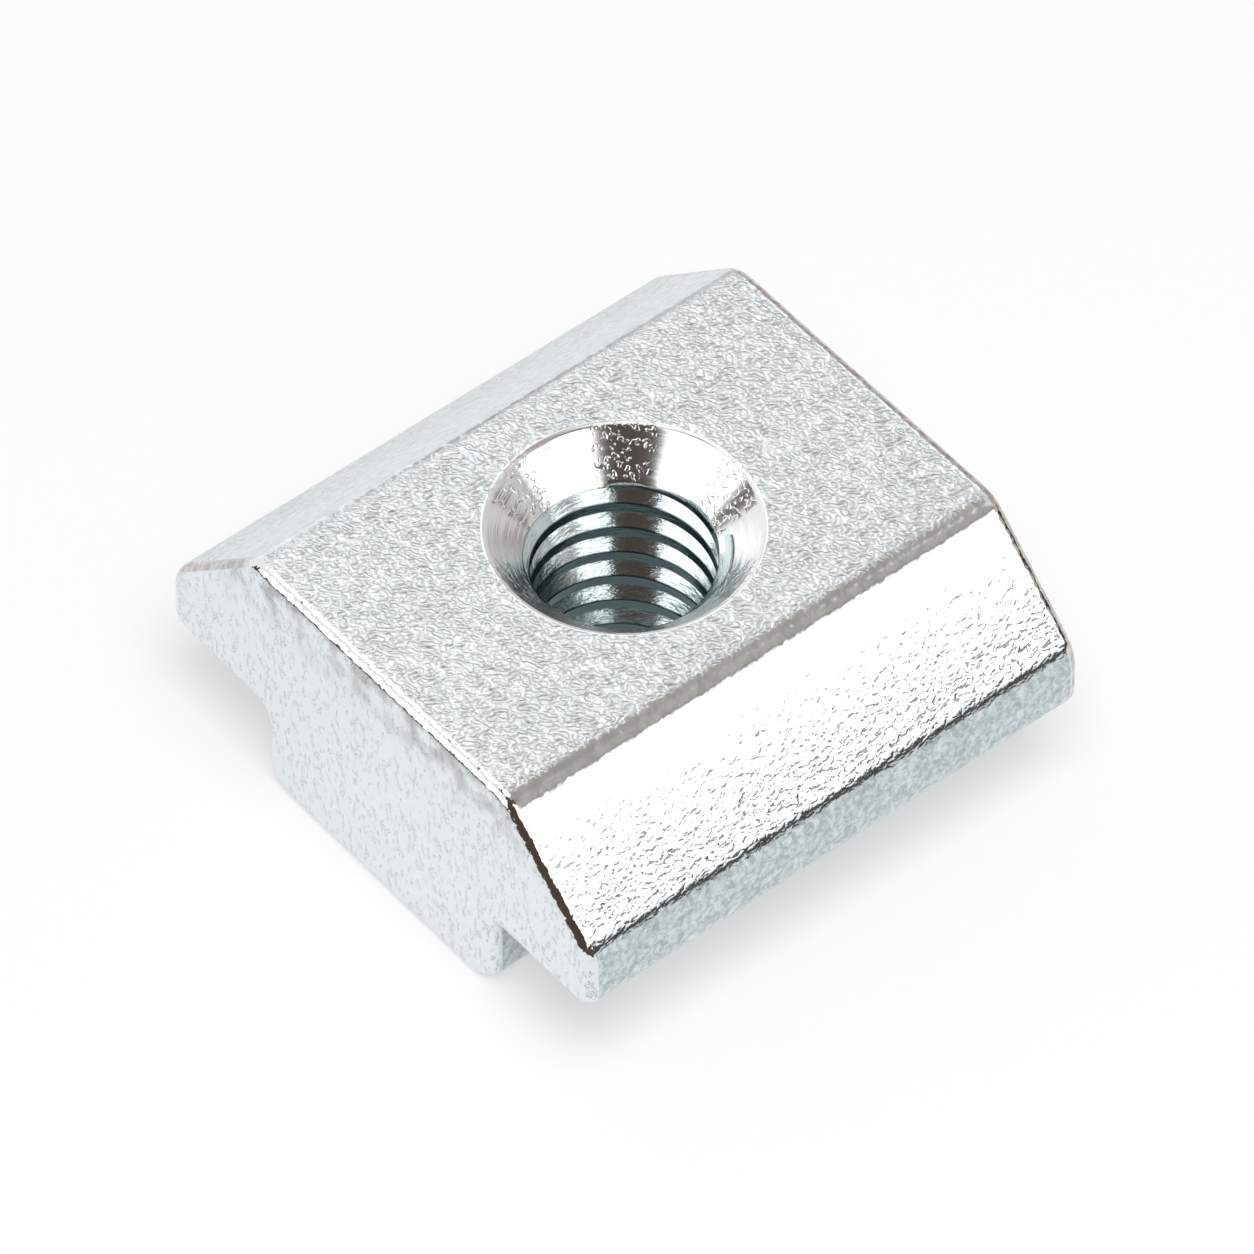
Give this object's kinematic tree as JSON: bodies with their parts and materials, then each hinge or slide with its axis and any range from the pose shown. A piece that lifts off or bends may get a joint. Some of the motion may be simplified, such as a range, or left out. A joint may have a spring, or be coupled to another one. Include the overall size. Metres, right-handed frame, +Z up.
{
  "type": "t-slot nut",
  "caption": "Slide-in nut for a profile's T-slot: wide sloped shoulders bear inside the slot, a narrower neck fills it, and a countersunk tapped hole takes the screw.",
  "frame": {"origin": "on the axis of the screw hole, at the flat of the neck that the nut stands on", "axes": "+Z up along the screw hole, from the neck to the wide flat top with the countersink; +Y along the slot; +X across the slot, to the right when looking along +Y"},
  "size_m": [0.018, 0.0172, 0.0085],
  "materials": {
    "zinc_plated_steel": "bright zinc plate, finely grained by tumbling"
  },
  "bodies": {
    "root": {"t_slot_nut": "zinc_plated_steel"}
  },
  "joints": []
}
